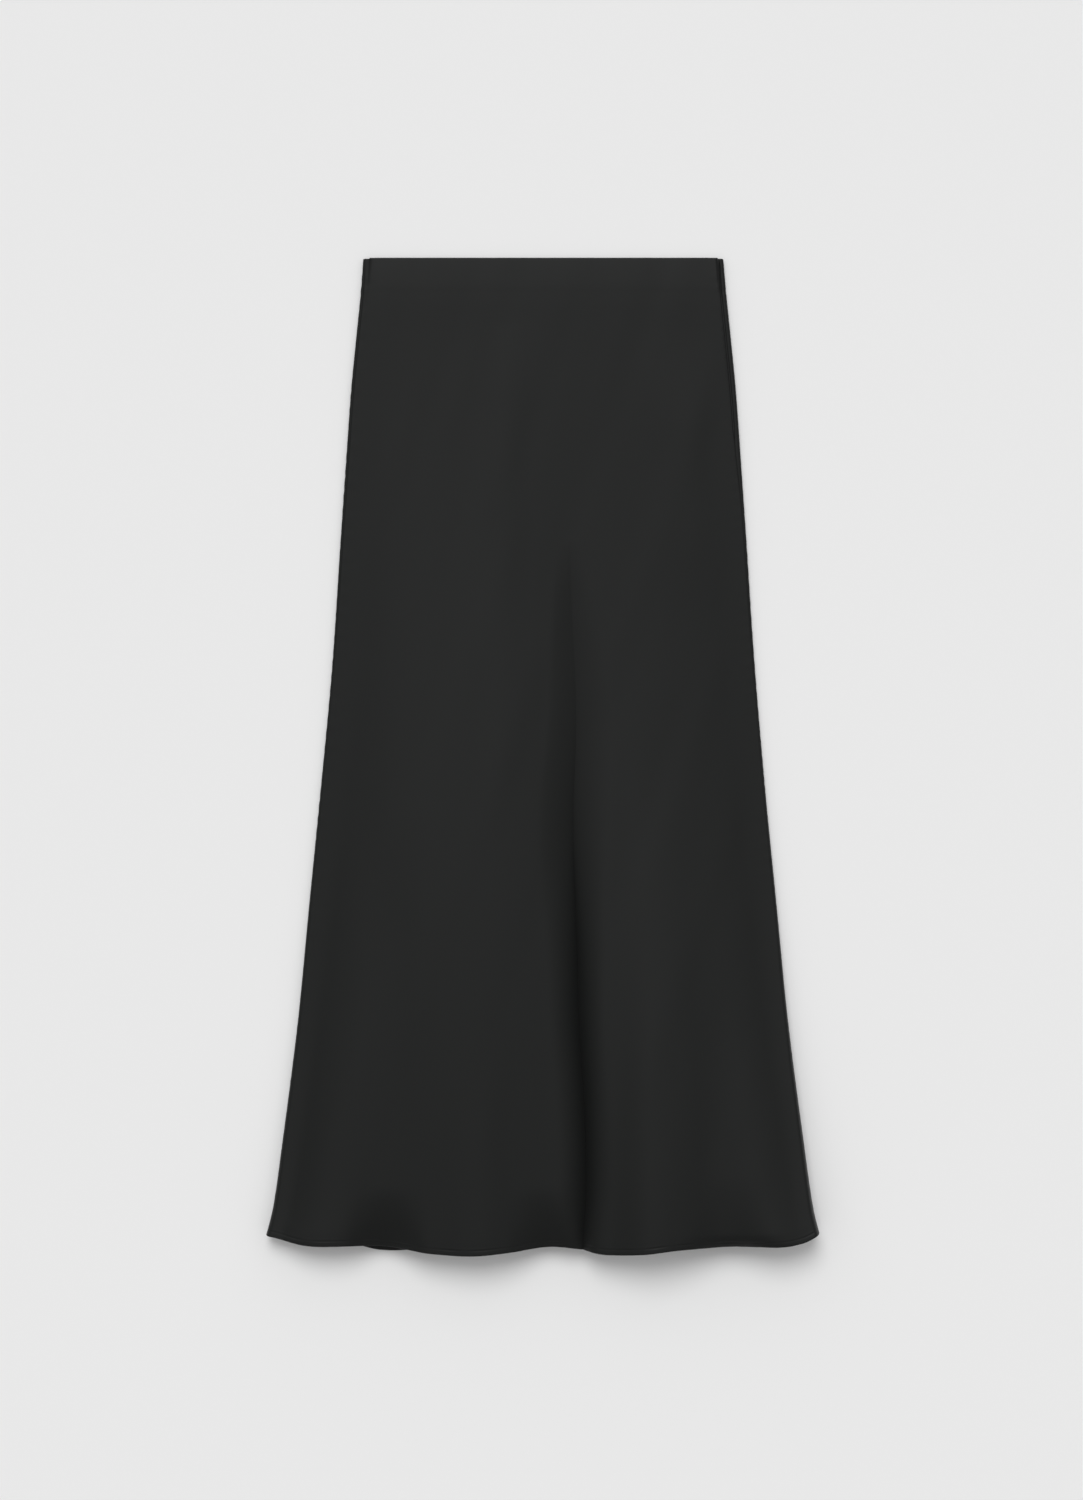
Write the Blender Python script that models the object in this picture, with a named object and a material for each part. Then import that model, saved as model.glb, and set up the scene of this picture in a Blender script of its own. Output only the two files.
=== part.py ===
"""A flared midi skirt laid flat on a surface, front up.

The back panel rests on z = 0 and rolls forward over both side edges up to the side seams. The front panel lies
on it and stands up in flutes towards the hem. +Y points to the waist, +X to the right as seen from above.
Everything is placed by two measures: how far down from the waist edge, and how far across from the centre.
"""

import math
from bisect import bisect_right
from collections import namedtuple

import bmesh
import bpy
from mathutils import Vector

# Driving sizes, in metres
LENGTH = 0.9030         # centre front, from the waist edge to the hem
HEM_RISE = 0.0125       # how much shorter the skirt is at its side seams than at the centre
CLOTH = 0.0011          # wall of a panel
TURNED = 0.0010         # wall of a turned-in layer
GAP = 0.0003            # between neighbouring pieces
WAIST_TURNING = 0.030   # depth of the turned-in waist edge
HEM_TURNING = 0.0065    # depth of the turned-up hem
ALLOWANCE = 0.010       # width of a side seam's allowances, and of the zip's tape
ZIP_THICKNESS = 0.0016
ZIP_TOP = 0.003         # below the waist edge
ZIP_END = 0.168
SEAM_TO_HEM = 0.0012    # from a side seam to the turned-up hem beside it

# The flat outline, and how the cloth turns over at the side edges: the open roll's height on the left and right and
# its reach inwards, its lift, where the side seam lies, and the width over which the front rises to its full height.
Edge = namedtuple("Edge", "down half_width stack loop right_loop reach lift seam_in rise")
EDGES = (
    # down   half_width  stack   loop  right_loop reach   lift    seam_in rise
    Edge(0.000, 0.1648, 0.0052, 0.0052, 0.0052, 0.0026, 0.0000, 0.0024, 0.130),
    Edge(0.030, 0.1667, 0.0052, 0.0052, 0.0052, 0.0026, 0.0000, 0.0026, 0.130),
    Edge(0.070, 0.1707, 0.0052, 0.0052, 0.0052, 0.0026, 0.0000, 0.0026, 0.130),
    Edge(0.120, 0.1756, 0.0052, 0.0052, 0.0052, 0.0026, 0.0000, 0.0026, 0.130),
    Edge(0.180, 0.1799, 0.0050, 0.0052, 0.0052, 0.0026, 0.0000, 0.0024, 0.130),
    Edge(0.260, 0.1854, 0.0046, 0.0052, 0.0052, 0.0026, 0.0000, 0.0022, 0.130),
    Edge(0.370, 0.1927, 0.0044, 0.0054, 0.0054, 0.0027, 0.0000, 0.0016, 0.130),
    Edge(0.480, 0.2024, 0.0044, 0.0060, 0.0064, 0.0030, 0.0000, 0.0008, 0.128),
    Edge(0.590, 0.2132, 0.0046, 0.0072, 0.0090, 0.0034, 0.0002, 0.0002, 0.116),
    Edge(0.700, 0.2239, 0.0050, 0.0092, 0.0152, 0.0040, 0.0008, 0.0000, 0.099),
    Edge(0.810, 0.2378, 0.0054, 0.0120, 0.0236, 0.0048, 0.0022, 0.0000, 0.083),
    Edge(0.865, 0.2455, 0.0056, 0.0140, 0.0284, 0.0054, 0.0034, 0.0000, 0.074),
    Edge(0.894, 0.2526, 0.0056, 0.0154, 0.0312, 0.0058, 0.0042, 0.0000, 0.068),
)

# The hem's own slight waves, as lengths added to the cloth around places across. The back hangs out at one place.
Wave = namedtuple("Wave", "across added left right")
HEM_WAVES = (
    Wave(-0.217, 0.0030, 0.035, 0.045),
    Wave(-0.072, 0.0036, 0.090, 0.060),
    Wave(0.012, -0.0020, 0.040, 0.030),
    Wave(0.060, 0.0030, 0.034, 0.058),
    Wave(0.126, -0.0012, 0.034, 0.030),
    Wave(0.178, 0.0013, 0.040, 0.028),
    Wave(0.220, 0.0032, 0.060, 0.032),
    Wave(0.253, -0.0036, 0.018, 0.010),
)
BACK_DROP = Wave(-0.146, 0.0064, 0.034, 0.055)
CORNER_DROP = 0.0012    # how far the waist edge curves down at its two ends
CORNER_SHARPNESS = 40
SWAY = 0.0006           # how far the upper skirt lies to the right
SWAY_FADE = (0.36, 0.52)    # the distances down between which that fades
HEM_SHARPNESS = 2.8     # how much of the hem's rise lies near its two ends

# The whole front stands off the back, from a distance down to the hem.
LOFT = 0.0260
LOFT_START = 0.060
LOFT_GROWTH = (1.65, 2.40)  # on the left and on the right: a larger growth keeps the front low for longer
LOFT_TURN = 0.120           # width of the middle over which one turns into the other
STEEPEST = 0.2          # share of the rise's width at which it is steepest

# A narrow groove in the front, from below the hip to the hem: its centre, its reach to either side, the share of the
# loft that it takes away at its bottom, and how much steeper its walls are at the bottom than at the shoulders.
Groove = namedtuple("Groove", "down across left right share sharpness")
GROOVE = (
    # down   across  left   right  share sharpness
    Groove(0.262, 0.0240, 0.012, 0.012, 0.00, 1.5),
    Groove(0.315, 0.0256, 0.018, 0.022, 0.68, 1.5),
    Groove(0.420, 0.0300, 0.026, 0.034, 0.80, 1.6),
    Groove(0.520, 0.0276, 0.032, 0.036, 0.80, 1.8),
    Groove(0.620, 0.0308, 0.029, 0.029, 0.76, 2.0),
    Groove(0.700, 0.0332, 0.027, 0.026, 0.69, 2.0),
    Groove(0.780, 0.0382, 0.026, 0.024, 0.60, 2.0),
    Groove(0.850, 0.0392, 0.026, 0.023, 0.56, 2.0),
    Groove(0.903, 0.0362, 0.029, 0.021, 0.55, 2.0),
)
GROOVE_ROUND = 0.018        # share of its reach over which the bottom is rounded

# Folds that each start at a distance down and grow to their full size at the hem. The flutes stand up by a
# height, and the dips hold the cloth down by a share of its height there. Left and right are the reaches at the
# hem. Near its start a fold is narrower. A large growth keeps it low until close to the hem.
Fold = namedtuple("Fold", "name start across_start across_hem size left right narrow growth")
FLUTES = (
    # name              start  across_start across_hem  size  left   right  narrow growth
    Fold("left_lobe", 0.420, -0.195, -0.212, 0.0024, 0.050, 0.060, 0.90, 1.0),
    Fold("left_ridge", 0.060, -0.034, -0.066, 0.0020, 0.060, 0.050, 0.60, 0.6),
    Fold("left_crest", 0.700, -0.060, -0.056, 0.0040, 0.045, 0.036, 0.90, 1.4),
    Fold("right_ridge", 0.460, 0.100, 0.101, 0.0130, 0.050, 0.078, 0.80, 1.5),
    Fold("right_lobe", 0.520, 0.190, 0.218, 0.0090, 0.074, 0.048, 0.90, 1.3),
)
DIPS = (
    # name             start  across_start across_hem  size  left   right  narrow growth
    Fold("left_hollow", 0.540, -0.146, -0.156, 0.120, 0.060, 0.060, 0.80, 1.0),
    Fold("left_dip", 0.846, -0.142, -0.145, 0.640, 0.038, 0.044, 0.90, 1.6),
    Fold("centre_dip", 0.846, -0.0020, 0.0060, 0.560, 0.040, 0.040, 0.90, 1.6),
    Fold("right_dip", 0.835, 0.170, 0.176, 0.200, 0.050, 0.040, 0.90, 1.6),
)
BACK_SHARE = 0.60       # the back rises under each flute by this share of its size
BACK_REST = 0.0012      # height of flute under which the back still lies flat

# Rows of points lie at these distances down at the centre, with more rows between them.
ROW_MARKS = (
    0.0,
    ZIP_TOP,
    WAIST_TURNING,
    ZIP_END,
    ZIP_END + 2 * GAP,
    LENGTH - HEM_TURNING - 2 * GAP,
    LENGTH - HEM_TURNING,
    LENGTH,
)
ROWS_BETWEEN = (1, 1, 4, 1, 18, 1, 1)
FRONT_COLUMNS = (19, 17)    # left and right of the groove's bottom, between the waist turning's ends
BACK_COLUMNS = (12, 12)
EDGE_COLUMNS = 3        # over a quarter of the rolled edge

CHARCOAL = (0.0200, 0.0212, 0.0205, 1.0)
CHARCOAL_INSIDE = (0.0170, 0.0180, 0.0175, 1.0)
ZIP_BLACK = (0.0120, 0.0125, 0.0125, 1.0)


def clear_scene():
    for old in list(bpy.data.objects):
        bpy.data.objects.remove(old, do_unlink=True)


def smooth(share):
    """0 to 1 with a soft start and end."""
    share = min(1.0, max(0.0, share))
    return share * share * (3 - 2 * share)


def blend(low, high, share):
    return low + (high - low) * share


def table_at(table, down, column):
    """A column of a table at a distance down, on a smooth curve through its rows."""
    knots = [row.down for row in table]
    values = [getattr(row, column) for row in table]
    down = min(knots[-1], max(knots[0], down))
    i = min(len(knots) - 2, bisect_right(knots, down) - 1)

    def slope(k):
        low, high = max(0, k - 1), min(len(knots) - 1, k + 1)
        return (values[high] - values[low]) / (knots[high] - knots[low])

    step = knots[i + 1] - knots[i]
    u = (down - knots[i]) / step
    return (
        (2 * u**3 - 3 * u**2 + 1) * values[i]
        + (u**3 - 2 * u**2 + u) * step * slope(i)
        + (3 * u**2 - 2 * u**3) * values[i + 1]
        + (u**3 - u**2) * step * slope(i + 1)
    )


def edge_at(down, column):
    return table_at(EDGES, down, column)


def loop_at(across, down):
    return edge_at(down, "right_loop" if across > 0 else "loop")


def hill(offset, left, right):
    """1 at no offset, falling smoothly to 0 at a reach to either side."""
    reach = left if offset < 0 else right
    return 0.5 * (1 + math.cos(math.pi * offset / reach)) if abs(offset) < reach else 0.0


def waist_down(across):
    """How far down the waist edge lies."""
    return CORNER_DROP * abs(across / edge_at(0, "half_width")) ** CORNER_SHARPNESS


def hem_down(across, waves=HEM_WAVES):
    """How far down the hem lies."""
    added = sum(wave.added * hill(across - wave.across, wave.left, wave.right) for wave in waves)
    return LENGTH - HEM_RISE * abs(across / edge_at(LENGTH, "half_width")) ** HEM_SHARPNESS + added


def fold_weight(fold, across, down):
    """How much of a fold is felt at a point: its growth down the skirt times its round profile across."""
    grown = min(1.0, (down - fold.start) / (LENGTH - fold.start))
    if grown <= 0:
        return 0.0
    offset = across - blend(fold.across_start, fold.across_hem, grown)
    widened = blend(fold.narrow, 1.0, grown**1.5)
    return grown**fold.growth * hill(offset, fold.left * widened, fold.right * widened)


def inside_edge(across, down):
    """0 at the rolled edge to 1 where the front has reached its full height, steepest near the edge."""
    to_edge = edge_at(down, "half_width") - abs(across) - edge_at(down, "reach")
    share = min(1.0, max(0.0, to_edge / edge_at(down, "rise")))
    if share < STEEPEST:
        return share * share / STEEPEST
    return 1 - (1 - share) ** 2 / (1 - STEEPEST)


def groove_share(across, down):
    """The share of the front's height that the groove takes away."""
    if down <= GROOVE[0].down:
        return 0.0
    offset = across - groove_across(down)
    reach = table_at(GROOVE, down, "left" if offset < 0 else "right")
    from_bottom = min(1.0, math.hypot(offset / reach, GROOVE_ROUND))
    return table_at(GROOVE, down, "share") * (1 - from_bottom) ** table_at(GROOVE, down, "sharpness")


def flute_height(across, down):
    return sum(flute.size * fold_weight(flute, across, down) for flute in FLUTES)


def body_height(across, down):
    """How far the front stands above its resting stack, before the rolled edges."""
    grown = max(0.0, (down - LOFT_START) / (LENGTH - LOFT_START))
    growth = blend(*LOFT_GROWTH, smooth(across / LOFT_TURN + 0.5))
    height = LOFT * math.sin(grown * math.pi / 2) ** growth + flute_height(across, down)
    for dip in DIPS:
        height *= 1 - dip.size * fold_weight(dip, across, down)
    return height * (1 - groove_share(across, down))


def edge_lift(across, down):
    """The side edges lift off the surface towards the hem's corners."""
    to_edge = edge_at(down, "half_width") - abs(across)
    return edge_at(down, "lift") * smooth(1 - to_edge / 0.060)


def back_height(across, down):
    """The underside of the back panel."""
    risen = BACK_SHARE * max(0.0, flute_height(across, down) - BACK_REST) * inside_edge(across, down)
    return edge_lift(across, down) + risen


def front_height(across, down):
    """The upper side of the front panel, clear of the rolled edges."""
    inside = inside_edge(across, down)
    stack = blend(loop_at(across, down), edge_at(down, "stack"), inside)
    return edge_lift(across, down) + stack + body_height(across, down) * inside


def to_point(across, down, height):
    low, high = SWAY_FADE
    return Vector((across + SWAY * (1 - smooth((down - low) / (high - low))), LENGTH / 2 - down, height))


def front_point(across, down):
    return to_point(across, down, front_height(across, down))


def back_point(across, down):
    return to_point(across, down, back_height(across, down))


def edge_point(side, down, angle):
    """On the rolled edge of a side, from -90 degrees under it, over 0 at the outline, to 90 degrees on top."""
    reach = edge_at(down, "reach")
    inner = side * (edge_at(down, "half_width") - reach)
    low, high = back_height(inner, down), front_height(inner, down)
    across = inner + side * reach * math.cos(angle)
    return to_point(across, down, (low + high) / 2 + (high - low) / 2 * math.sin(angle))


def rolled_point(side, down, along):
    """A distance over the edge from the outline: below 0 on the underside, above 0 over the top."""
    reach = edge_at(down, "reach")
    quarter = quarter_roll(down)
    if abs(along) <= quarter:
        return edge_point(side, down, along / quarter * math.pi / 2)
    across = side * (edge_at(down, "half_width") - reach - (abs(along) - quarter))
    return front_point(across, down) if along > 0 else back_point(across, down)


def quarter_roll(down):
    return edge_at(down, "reach") * math.pi / 2


def seam_along(down):
    """Where the side seam lies, as a distance over the edge from the outline."""
    inside = max(0.0, edge_at(down, "seam_in"))
    reach = edge_at(down, "reach")
    if inside >= reach:
        return quarter_roll(down) + inside - reach
    return math.acos(1 - inside / reach) / (math.pi / 2) * quarter_roll(down)


def along_columns(side, distances):
    """Columns on and beside a rolled edge, each at its own distance along the cloth from the outline."""
    return [lambda down, at=distance: rolled_point(side, down, at(down)) for distance in distances]


def groove_across(down):
    return table_at(GROOVE, down, "across")


def level_columns(point_at, counts, middle=lambda down: 0.0):
    """Columns between the ends of the waist turning, as many to the left and right of a middle line as counted."""

    def column(side, share):
        def at(down):
            reach = edge_at(down, "half_width") - edge_at(down, "reach") - ALLOWANCE - 2 * GAP
            return point_at(blend(middle(down), side * reach, share), down)

        return at

    left = [column(-1, 1 - k / counts[0]) for k in range(counts[0])]
    return left + [column(1, k / counts[1]) for k in range(counts[1] + 1)]


def front_distances():
    """Distances of the front's columns, from past the side seam to the seam allowance's inner edge."""

    def at_seam(extra, quarters):
        return lambda down: seam_along(down) + extra + quarters * quarter_roll(down)

    steps = [at_seam(-GAP, -1 / EDGE_COLUMNS), at_seam(GAP / 2, 0), at_seam(SEAM_TO_HEM, 0)]
    return steps + [at_seam(GAP / 2, k / EDGE_COLUMNS) for k in range(1, EDGE_COLUMNS + 1)]


def back_distances():
    """The same for the back, from past the seam, round under the edge, to the seam allowance's inner edge."""

    def under(extra):
        return lambda down: -quarter_roll(down) - extra

    def between(share):
        return lambda down: blend(seam_along(down) - GAP / 2, -quarter_roll(down), share)

    over = 2 * EDGE_COLUMNS + 1
    beside_seam = [
        between(-1 / over),
        between(0),
        lambda down: seam_along(down) - SEAM_TO_HEM,
    ]
    return beside_seam + [between(k / over) for k in range(1, over + 1)] + [under(ALLOWANCE / 2), under(ALLOWANCE)]


def row_shares():
    """Shares of the length, from 0 at the waist edge to 1 at the hem, through every mark."""
    shares = [0.0]
    for low, high, count in zip(ROW_MARKS, ROW_MARKS[1:], ROWS_BETWEEN):
        shares += [blend(low, high, k / count) / LENGTH for k in range(1, count + 1)]
    return shares


def row_of(mark):
    """The number of the row that lies at a mark."""
    return sum(ROWS_BETWEEN[: ROW_MARKS.index(mark)])


class Sheet:
    """The outer side of a panel as rows of points, with the direction that faces out at each."""

    def __init__(self, columns, faces_up):
        waves = HEM_WAVES if faces_up else (*HEM_WAVES, BACK_DROP)
        ends = [(waist_down(column(0).x), hem_down(column(LENGTH).x, waves)) for column in columns]
        padded = [[column(blend(*end, share)) for column, end in zip(columns, ends)] for share in row_shares()]
        last = len(padded) - 1
        self.points = [row[1:-1] for row in padded]
        self.out = []
        for i, row in enumerate(padded):
            below, above = padded[min(last, i + 1)], padded[max(0, i - 1)]
            facing = [
                (row[k + 1] - row[k - 1]).cross(above[k] - below[k]).normalized() for k in range(1, len(row) - 1)
            ]
            self.out.append([out if faces_up else -out for out in facing])

    def make(self, name, material, rows=None, columns=None, inside=0.0, wall=CLOTH):
        """A solid of the sheet, or of a patch of it, with its outer side moved in by `inside`."""
        rows = rows or (0, len(self.points) - 1)
        columns = columns or (0, len(self.points[0]) - 1)
        width, height = columns[1] - columns[0], rows[1] - rows[0]
        mesh = bmesh.new()
        inward = mesh.verts.layers.float_vector.new("inward")
        bmesh.ops.create_grid(mesh, x_segments=width, y_segments=height, size=0.5)
        for vert in mesh.verts:
            i = rows[0] + round((0.5 - vert.co.y) * height)
            k = columns[0] + round((0.5 + vert.co.x) * width)
            vert[inward] = -self.out[i][k]
            vert.co = self.points[i][k] + vert[inward] * inside
        extruded = bmesh.ops.extrude_face_region(mesh, geom=mesh.faces[:], use_keep_orig=True)
        for vert in extruded["geom"]:
            if isinstance(vert, bmesh.types.BMVert):
                vert.co = vert.co + vert[inward] * wall
        bmesh.ops.recalc_face_normals(mesh, faces=mesh.faces)
        data = bpy.data.meshes.new(name)
        mesh.to_mesh(data)
        mesh.free()
        data.shade_smooth()
        data.set_sharp_from_angle(angle=math.radians(40))
        data.materials.append(material)
        bpy.context.scene.collection.objects.link(bpy.data.objects.new(name, data))


def finish(name, colour, roughness):
    material = bpy.data.materials.new(name)
    material.use_nodes = True
    shader = material.node_tree.nodes["Principled BSDF"]
    shader.inputs["Base Color"].default_value = colour
    shader.inputs["Roughness"].default_value = roughness
    shader.inputs["Metallic"].default_value = 0.0
    return material


def both_sides(distances, middle):
    left, right = along_columns(-1, distances), along_columns(1, distances)
    return left + middle + right[::-1]


def make_skirt():
    satin = finish("charcoal_satin", CHARCOAL, 0.55)
    satin_inside = finish("charcoal_satin_inside", CHARCOAL_INSIDE, 0.70)
    zip_tape = finish("zip_tape", ZIP_BLACK, 0.60)
    front_edge, back_edge = front_distances(), back_distances()
    front_middle = level_columns(front_point, FRONT_COLUMNS, groove_across)
    front = Sheet(both_sides(front_edge, front_middle), faces_up=True)
    back = Sheet(both_sides(back_edge, level_columns(back_point, BACK_COLUMNS)), faces_up=False)
    front.make("front_panel", satin)
    back.make("back_panel", satin)

    # The turned-in layers lie a gap inside their panels.
    turned = {"inside": CLOTH + GAP, "wall": TURNED}
    waist_rows = (0, row_of(WAIST_TURNING))
    hem_rows = (row_of(LENGTH - HEM_TURNING), len(front.points) - 1)
    for sheet, side, edge in ((front, "front", front_edge), (back, "back", back_edge)):
        last = len(sheet.points[0]) - 1
        turning_start = len(edge) - 1
        sheet.make(f"{side}_waist_turning", satin_inside, waist_rows, (turning_start, last - turning_start), **turned)
        sheet.make(f"{side}_hem", satin_inside, hem_rows, (1, last - 1), **turned)

    # The seam allowances and the zip lie inside on the back, beside the rolled edge.
    last = len(back.points[0]) - 1
    allowance = (len(back_edge) - 4, len(back_edge) - 2)
    right_allowance = (last - allowance[1], last - allowance[0])
    above_hem = row_of(LENGTH - HEM_TURNING - 2 * GAP)
    back.make("side_seam_left", satin_inside, (row_of(ZIP_TOP), above_hem), allowance, **turned)
    back.make("side_seam_right", satin_inside, (row_of(ZIP_END + 2 * GAP), above_hem), right_allowance, **turned)
    back.make(
        "side_zip",
        zip_tape,
        (row_of(ZIP_TOP), row_of(ZIP_END)),
        right_allowance,
        inside=CLOTH + GAP,
        wall=ZIP_THICKNESS,
    )


clear_scene()
make_skirt()
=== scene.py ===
import math
import bmesh
import bpy
import numpy as np
from mathutils import Matrix, Vector


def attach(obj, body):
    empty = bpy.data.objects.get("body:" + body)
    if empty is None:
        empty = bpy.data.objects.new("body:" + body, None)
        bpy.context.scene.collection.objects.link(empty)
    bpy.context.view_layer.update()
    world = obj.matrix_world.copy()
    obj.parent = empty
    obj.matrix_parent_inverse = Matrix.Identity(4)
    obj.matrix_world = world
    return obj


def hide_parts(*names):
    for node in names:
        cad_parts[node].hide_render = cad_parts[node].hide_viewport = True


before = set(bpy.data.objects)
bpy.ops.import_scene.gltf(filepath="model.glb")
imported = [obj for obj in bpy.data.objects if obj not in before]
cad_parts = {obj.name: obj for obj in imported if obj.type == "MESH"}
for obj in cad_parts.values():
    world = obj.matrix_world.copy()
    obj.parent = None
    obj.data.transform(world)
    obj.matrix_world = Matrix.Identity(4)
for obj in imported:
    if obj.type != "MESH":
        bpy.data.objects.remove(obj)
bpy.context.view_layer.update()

# camera, light and floor
view = {
    "height": 2.6,          # above the surface, straight over the skirt
    "centre": (-0.0012, 0.0021),
    "spread": 1.371,        # metres of the surface along the picture's long side
    "sensor": 36.0,
    "clip": (0.05, 200),
}
ambient = {"strength": 0.34, "colour": (1.0, 1.0, 1.0)}
suns = {
    # strength, how wide it looks, its height and its turn to the left of the waist, in degrees
    "key": (1.50, 34.0, 54.0, 9.0),
    "softbox": (1.02, 120.0, 62.0, 0.0),
}
ground = {"size": 60.0, "level": -0.0004, "colour": (0.80, 0.80, 0.80)}

scene = bpy.context.scene
scene.view_settings.view_transform = "Standard"
scene.view_settings.look = "None"

cameraData = bpy.data.cameras.new("camera")
cameraData.sensor_width = view["sensor"]
cameraData.lens = view["sensor"] * view["height"] / view["spread"]
cameraData.clip_start, cameraData.clip_end = view["clip"]
camera = bpy.data.objects.new("camera", cameraData)
camera.location = (*view["centre"], view["height"])
scene.collection.objects.link(camera)
scene.camera = camera

world = bpy.data.worlds.new("studio")
world.use_nodes = True
backdrop = world.node_tree.nodes["Background"]
backdrop.inputs["Color"].default_value = (*ambient["colour"], 1)
backdrop.inputs["Strength"].default_value = ambient["strength"]
scene.world = world

for name, (strength, width, height, turn) in suns.items():
    sun = bpy.data.lights.new(name, "SUN")
    sun.energy = strength
    sun.angle = math.radians(width)
    lamp = bpy.data.objects.new(name, sun)
    side, height = -math.radians(turn), math.radians(height)
    level = math.cos(height)
    towards = Vector((math.sin(side) * level, math.cos(side) * level, math.sin(height)))
    lamp.rotation_mode = "QUATERNION"
    lamp.rotation_quaternion = towards.to_track_quat("Z", "Y")
    scene.collection.objects.link(lamp)


# helpers for the materials
class Wire:
    # a shader value that can be used in sums
    def __init__(self, paint, socket):
        self.paint, self.socket = paint, socket

    def maths(self, operation, other):
        return self.paint.node("ShaderNodeMath", {"operation": operation}, self, other)

    def __add__(self, other):
        return self.maths("ADD", other)

    def __sub__(self, other):
        return self.maths("SUBTRACT", other)

    def __mul__(self, other):
        return self.maths("MULTIPLY", other)

    __radd__ = __add__


class Paint:
    # one material, with its nodes
    def __init__(self, name):
        self.material = bpy.data.materials.new(name)
        self.material.use_nodes = True
        self.tree = self.material.node_tree
        self.shader = self.tree.nodes["Principled BSDF"]

    def node(self, kind, settings=None, *values, out=0, **named):
        made = self.tree.nodes.new(kind)
        for word, value in (settings or {}).items():
            setattr(made, word, value)
        for place, value in (*enumerate(values), *named.items()):
            if isinstance(place, str):
                place = place.replace("_", " ")
            self.join(value, made.inputs[place])
        return Wire(self, made.outputs[out])

    def join(self, value, socket):
        if isinstance(value, Wire):
            self.tree.links.new(value.socket, socket)
        else:
            socket.default_value = value

    def set(self, **named):
        for word, value in named.items():
            self.join(value, self.shader.inputs[word.replace("_", " ")])

    def stretched(self, place, scale):
        return self.node("ShaderNodeMapping", None, place, Scale=scale)

    def cloud(self, place, scale, detail=1.0):
        return self.node("ShaderNodeTexNoise", None, Vector=place, Scale=scale, Detail=detail)

    def raised(self, height, distance):
        bump = self.node("ShaderNodeBump", None, Strength=0.5, Distance=distance, Height=height)
        self.join(bump, self.shader.inputs["Normal"])

    def blendColour(self, share, low, high):
        made = self.tree.nodes.new("ShaderNodeMix")
        made.data_type = "RGBA"
        self.join(share, made.inputs[0])
        self.join(low, made.inputs[6])
        self.join(high, made.inputs[7])
        return Wire(self, made.outputs[2])


floorMesh = bpy.data.meshes.new("floor")
floorShape = bmesh.new()
bmesh.ops.create_grid(floorShape, x_segments=8, y_segments=8, size=ground["size"] / 2)
floorShape.to_mesh(floorMesh)
floorShape.free()
floor = bpy.data.objects.new("floor", floorMesh)
for vert in floorMesh.vertices:
    vert.co.z = ground["level"]
scene.collection.objects.link(floor)
floorPaint = Paint("paleFloor")
floorPaint.set(Base_Color=(*ground["colour"], 1), Roughness=0.9, Specular_IOR_Level=0.1)
floorMesh.materials.append(floorPaint.material)
print("camera, light and floor")

# the skirt's form, by how far down from the waist edge and how far across from the centre
skirt = {
    "length": 0.903,
    "hemRise": 0.0125,      # how much shorter the hem's arc is at its two ends
    "hemArc": 2.8,
    "loft": 0.0260,         # how far the front stands off the back at the hem
    "loftStart": 0.060,
    "loftGrowth": (1.65, 2.40),     # how late it rises, on the left and on the right
    "loftTurn": 0.120,      # width of the middle over which one turns into the other
    "steepest": 0.2,        # where in its width the rise at the sides is steepest
    "cornerDrop": 0.0012,   # how far the waist edge curves down at its two ends
    "cornerSharpness": 40,
    "sway": 0.0006,         # how far the upper skirt lies to the right
    "swayFade": (0.36, 0.52),
    "backShare": 0.60,      # the back rises under a flute by this share
    "backRest": 0.0012,     # flutes up to this high don't lift it
    "liftReach": 0.060,     # how far in from the outline the hem's ends are lifted
    "cloth": 0.0005,        # thickness
}
# the outline: distance down, half width, the layers' height, the height of the side rolls on the left and
# on the right, a roll's reach, its lift, how far in the seam lies, the width over which the front rises
outlineWords = ("down", "halfWidth", "stack", "loop", "rightLoop", "reach", "lift", "seamIn", "rise")
outlineRows = (
    (0.000, 0.1648, 0.0052, 0.0052, 0.0052, 0.0026, 0.0000, 0.0024, 0.130),
    (0.030, 0.1667, 0.0052, 0.0052, 0.0052, 0.0026, 0.0000, 0.0026, 0.130),
    (0.070, 0.1707, 0.0052, 0.0052, 0.0052, 0.0026, 0.0000, 0.0026, 0.130),
    (0.120, 0.1756, 0.0052, 0.0052, 0.0052, 0.0026, 0.0000, 0.0026, 0.130),
    (0.180, 0.1799, 0.0050, 0.0052, 0.0052, 0.0026, 0.0000, 0.0024, 0.130),
    (0.260, 0.1854, 0.0046, 0.0052, 0.0052, 0.0026, 0.0000, 0.0022, 0.130),
    (0.370, 0.1927, 0.0044, 0.0054, 0.0054, 0.0027, 0.0000, 0.0016, 0.130),
    (0.480, 0.2024, 0.0044, 0.0060, 0.0064, 0.0030, 0.0000, 0.0008, 0.128),
    (0.590, 0.2132, 0.0046, 0.0072, 0.0090, 0.0034, 0.0002, 0.0002, 0.116),
    (0.700, 0.2239, 0.0050, 0.0092, 0.0152, 0.0040, 0.0008, 0.0000, 0.099),
    (0.810, 0.2378, 0.0054, 0.0120, 0.0236, 0.0048, 0.0022, 0.0000, 0.083),
    (0.865, 0.2455, 0.0056, 0.0140, 0.0284, 0.0054, 0.0034, 0.0000, 0.074),
    (0.894, 0.2526, 0.0056, 0.0154, 0.0312, 0.0058, 0.0042, 0.0000, 0.068),
)
outline = dict(zip(outlineWords, zip(*outlineRows)))
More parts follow.
